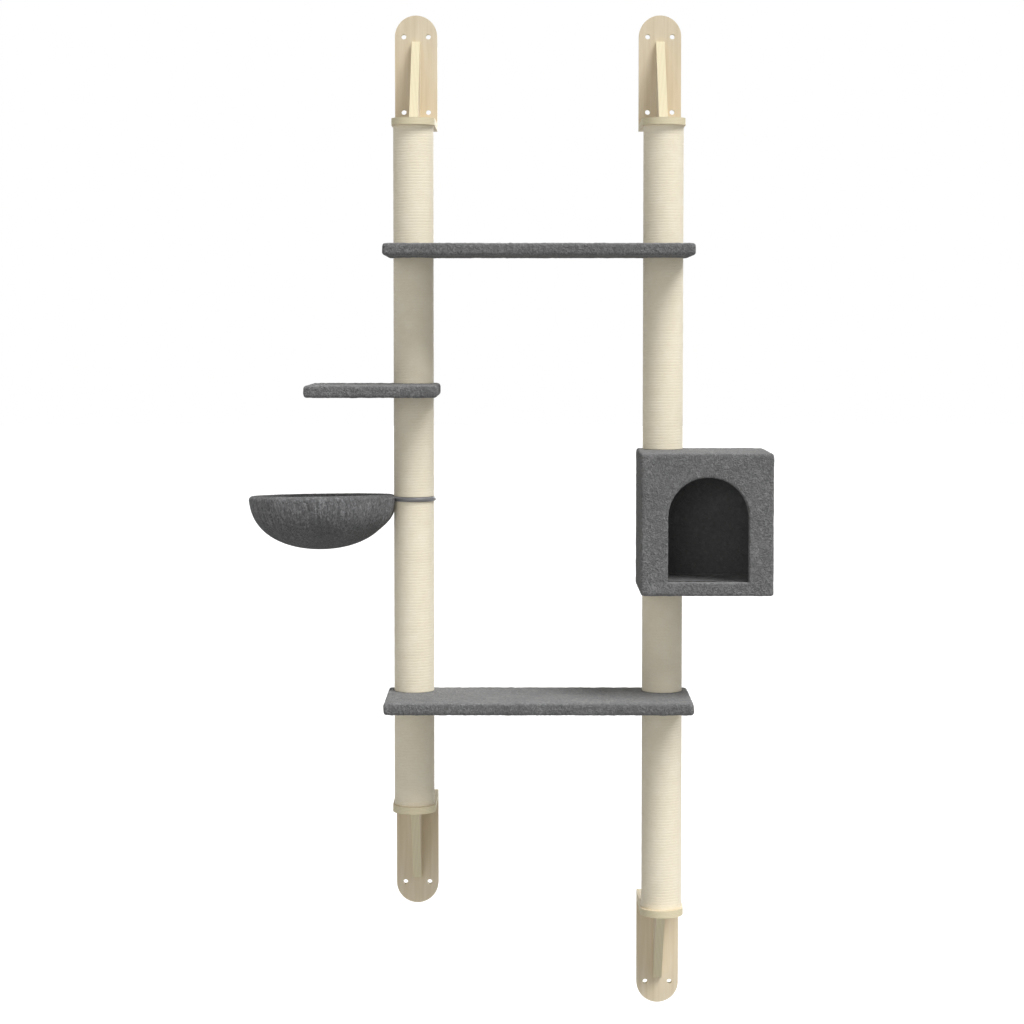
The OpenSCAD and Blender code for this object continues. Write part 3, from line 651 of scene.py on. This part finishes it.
# The rim is a roll carried along the hoop, from one side of the weld to the other. Each gather draws it in a
# little on its lower half.
rim_r = bar_d / 2 + pouch_t
bowl_r = hoop_r + rim_r
rim_reach = post_r + bar_d / 2 + rim_gap
opening = math.acos((reach**2 + bowl_r**2 - rim_reach**2) / (2 * reach * bowl_r))
rim_steps, rim_sides, gather_depth, rim_pile = 700, 24, 0.0006, 0.0002
along = np.linspace(opening, 2 * np.pi - opening, rim_steps)[:, None]
around = 2 * np.pi * np.arange(rim_sides)[None, :] / rim_sides
gathers = 0.5 + 0.5 * np.cos(pleats * along + 1.5 * np.sin(3 * along))
roll = rim_r - gather_depth * gathers * (0.5 - 0.5 * np.sin(around))
rim_out = hoop_r + roll * np.cos(around) + swell(along) * np.maximum(np.cos(around), 0)
rim = np.stack([rim_out * np.cos(along), rim_out * np.sin(along), roll * np.sin(around) + 0 * along], -1)
rim = rim + rim_pile * lumpy(rim, 0.004, 31)[..., None]
caps = rim[[0, -1]].mean(1, keepdims=True).repeat(rim_sides, 1)
rim = at_hoop(np.concatenate([caps[:1], rim, caps[1:]]))
rim_piece = skin("padded_rim", [(rim, True)], pouch_plush, "basket")
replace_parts(rim_piece, "basket_rim")


def bowl(radius, depth, top_z, rows, sides=704, fold=0.0044, soft=0.0008, clear_r=post_r + 0.0018):
    """A bowl from its bottom up to its edge: an oval profile turned round, whose width and depth are powers
    of the sine and cosine of its steepness. It is gathered into pleats, each a large and a small arch drawn
    inwards. They wander a little, are of unequal depth, start below the edge and fade half-way down. top_z
    gives the edge's height for each direction. The bowl swells beside the post and lies flat against it."""
    turn = 2 * np.pi * np.arange(sides)[None, :] / sides
    steep = np.arccos((-top_z(turn) / depth) ** (bowl_fullness / 2)) * np.linspace(0, 1, rows)[:, None]
    wander = turn + 0.025 * np.sin(5 * turn) + 0.016 * np.sin(13 * turn + 1.5 * steep)
    unequal = 0.65 + 0.35 * np.sin(7 * turn + 1) * np.sin(17 * turn)
    arches = 1 - 0.6 * np.abs(np.sin(pleats / 2 * wander)) - 0.4 * np.abs(np.sin(pleats * wander))
    hollows = soft * np.sin(steep) ** 2 * (1 + np.sin(9 * turn + 3 * steep)) / 2
    gathered = eased(steep, 0.6, 1.25) * (1 - 0.55 * eased(steep, 1.4, 1.56))
    out = radius * np.sin(steep) ** (2 / bowl_fullness) + swell(turn) * eased(steep, 0.7, 1.3)
    out = out - (fold * unequal * arches + hollows) * gathered
    beside = reach * np.sin(from_weld(turn))
    to_post = reach * np.cos(turn) - np.sqrt(np.maximum(clear_r**2 - beside**2, 0))
    near_post = (beside < clear_r) & (np.cos(turn) > 0)
    out = np.where(near_post, np.minimum(out, to_post + radius - bowl_r), out)
    down = -depth * np.cos(steep) ** (2 / bowl_fullness)
    return np.stack([out * np.cos(turn), out * np.sin(turn), down + 0 * turn], -1)


def cloth_top(turn, at_weld=-0.0055, elsewhere=-0.0004):
    """The cloth reaches up round the hoop, and stays below the ring where the hoop is welded to it."""
    return at_weld + (elsewhere - at_weld) * eased(from_weld(turn), math.radians(10), math.radians(14))


def inner_top(turn):
    """Inside, the cloth ends level under the rim."""
    return -0.0075 + 0 * turn


# The outer cloth ends in a narrow tuck that turns in under the rim, and goes on as the inner cloth.
tuck_in, tuck_up, play = 0.0008, 0.001, 0.0006
outer_bowl = bowl(bowl_r, bowl_depth, cloth_top, rows=72)
narrower = 1 - tuck_in / bowl_r
tuck = outer_bowl[-1:] * np.array([narrower, narrower, 1.0]) + np.array([0, 0, tuck_up])
inner_bowl = bowl(bowl_r - pouch_t - play, bowl_depth - pouch_t, inner_top, rows=40)
pouch = at_hoop(np.concatenate([outer_bowl, tuck, inner_bowl[::-1]]))
pouch_piece = skin("gathered_pouch", [(pouch, True)], pouch_plush, "basket")
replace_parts(pouch_piece, "basket_pouch")
